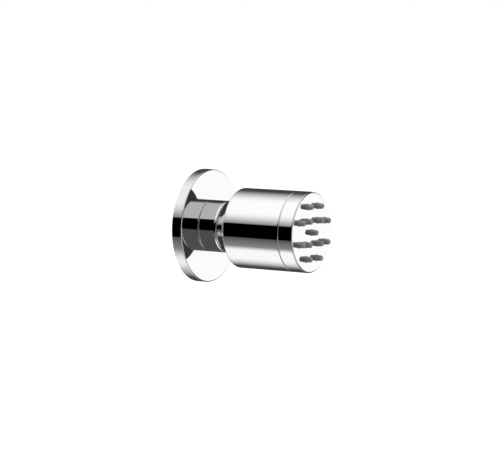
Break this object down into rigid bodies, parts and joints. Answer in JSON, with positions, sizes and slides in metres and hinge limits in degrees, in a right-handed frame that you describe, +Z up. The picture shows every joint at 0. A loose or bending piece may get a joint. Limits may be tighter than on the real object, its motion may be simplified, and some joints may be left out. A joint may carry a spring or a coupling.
{
  "type": "shower body jet",
  "caption": "Round wall-mounted shower body jet: chromed cover plate, short neck with a ball joint, and a cylindrical head with soft nozzles in its flat face.",
  "frame": {"origin": "centre of the wall plate's back face, on the jet's axis, in the plane of the wall", "axes": "+Z up, +Y into the wall along the inlet thread, -Y out of the wall along the spray head"},
  "size_m": [0.06, 0.0806, 0.06],
  "materials": {
    "chrome": "polished chrome plate on turned brass",
    "brass": "bare turned brass",
    "silicone": "satin moulded silicone, mid grey",
    "seal_rubber": "matt moulded rubber",
    "seat_plastic": "off-white acetal",
    "strainer_plastic": "moulded plastic"
  },
  "bodies": {
    "wall_mount": {"wall_plate": "chrome", "wall_gasket": "seal_rubber", "plate_o_ring": "seal_rubber", "inlet_body": "brass", "inlet_washer": "seal_rubber", "inlet_filter": "strainer_plastic", "seat_o_ring": "seal_rubber", "rear_seat": "seat_plastic", "ball_o_ring": "seal_rubber", "ball_nut": "chrome"},
    "slip_ring": {"front_seat": "seat_plastic"},
    "spray_head": {"swivel_ball": "chrome", "stem_o_ring": "seal_rubber", "head_shell": "chrome", "flow_regulator": "strainer_plastic", "regulator_ring": "seal_rubber", "cap_gasket": "seal_rubber", "distributor": "seat_plastic", "nozzle_mat": "silicone", "spray_cap": "chrome"}
  },
  "joints": [
    {"name": "head_swivel", "type": "hinge", "parent": "wall_mount", "child": "slip_ring", "pos_m": [0, -0.00985, 0], "axis": [0, -1, 0], "continuous": true},
    {"name": "head_tilt", "type": "hinge", "parent": "slip_ring", "child": "spray_head", "pos_m": [0, -0.00985, 0], "axis": [1, 0, 0], "range_deg": [-20, 20]}
  ]
}
